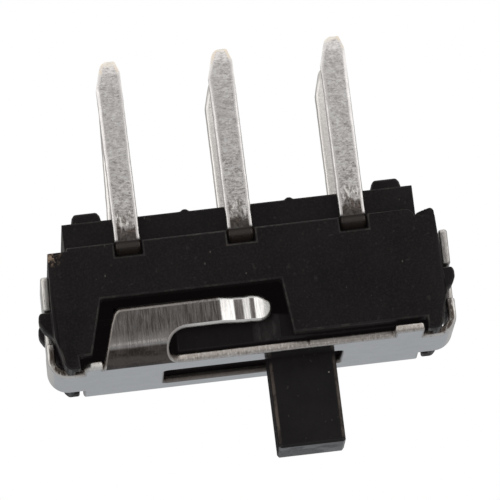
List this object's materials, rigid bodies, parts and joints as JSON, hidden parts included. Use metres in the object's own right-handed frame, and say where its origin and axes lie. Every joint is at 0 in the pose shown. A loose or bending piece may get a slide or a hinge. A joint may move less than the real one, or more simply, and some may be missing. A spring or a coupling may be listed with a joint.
{
  "type": "slide switch",
  "caption": "Miniature slide switch with a square black knob, a clipped-on sheet metal cover with a wavy leaf detent spring, and straight solder pins in rows.",
  "frame": {"origin": "middle of the seating plane, the plane of the two standoff ribs' tips, which touch the circuit board", "axes": "+X along the slider's travel, +Y from the detent spring's side to the plain rear side, +Z out of the knob side, away from the circuit board"},
  "size_m": [0.0092, 0.0036, 0.0088],
  "materials": {
    "housing_plastic": "black moulded polyamide, fine matte with small specks",
    "slider_plastic": "black moulded acetal, satin",
    "terminal_tin": "stamped brass strip, matte tin plated",
    "clip_bronze": "phosphor bronze strip, plain",
    "cover_steel": "bright nickel plated spring steel sheet, cut edges burnished and torn"
  },
  "bodies": {
    "base": {"housing": "housing_plastic", "terminal_front_left": "terminal_tin", "terminal_front_middle": "terminal_tin", "terminal_front_right": "terminal_tin", "terminal_rear_left": "terminal_tin", "terminal_rear_middle": "terminal_tin", "terminal_rear_right": "terminal_tin", "cover": "cover_steel"},
    "slider": {"slider": "slider_plastic", "contact_clip_front": "clip_bronze", "contact_clip_rear": "clip_bronze"}
  },
  "joints": [
    {"name": "knob_slide", "type": "slide", "parent": "base", "child": "slider", "axis": [1, 0, 0], "range_m": [0, 0.00215]}
  ]
}
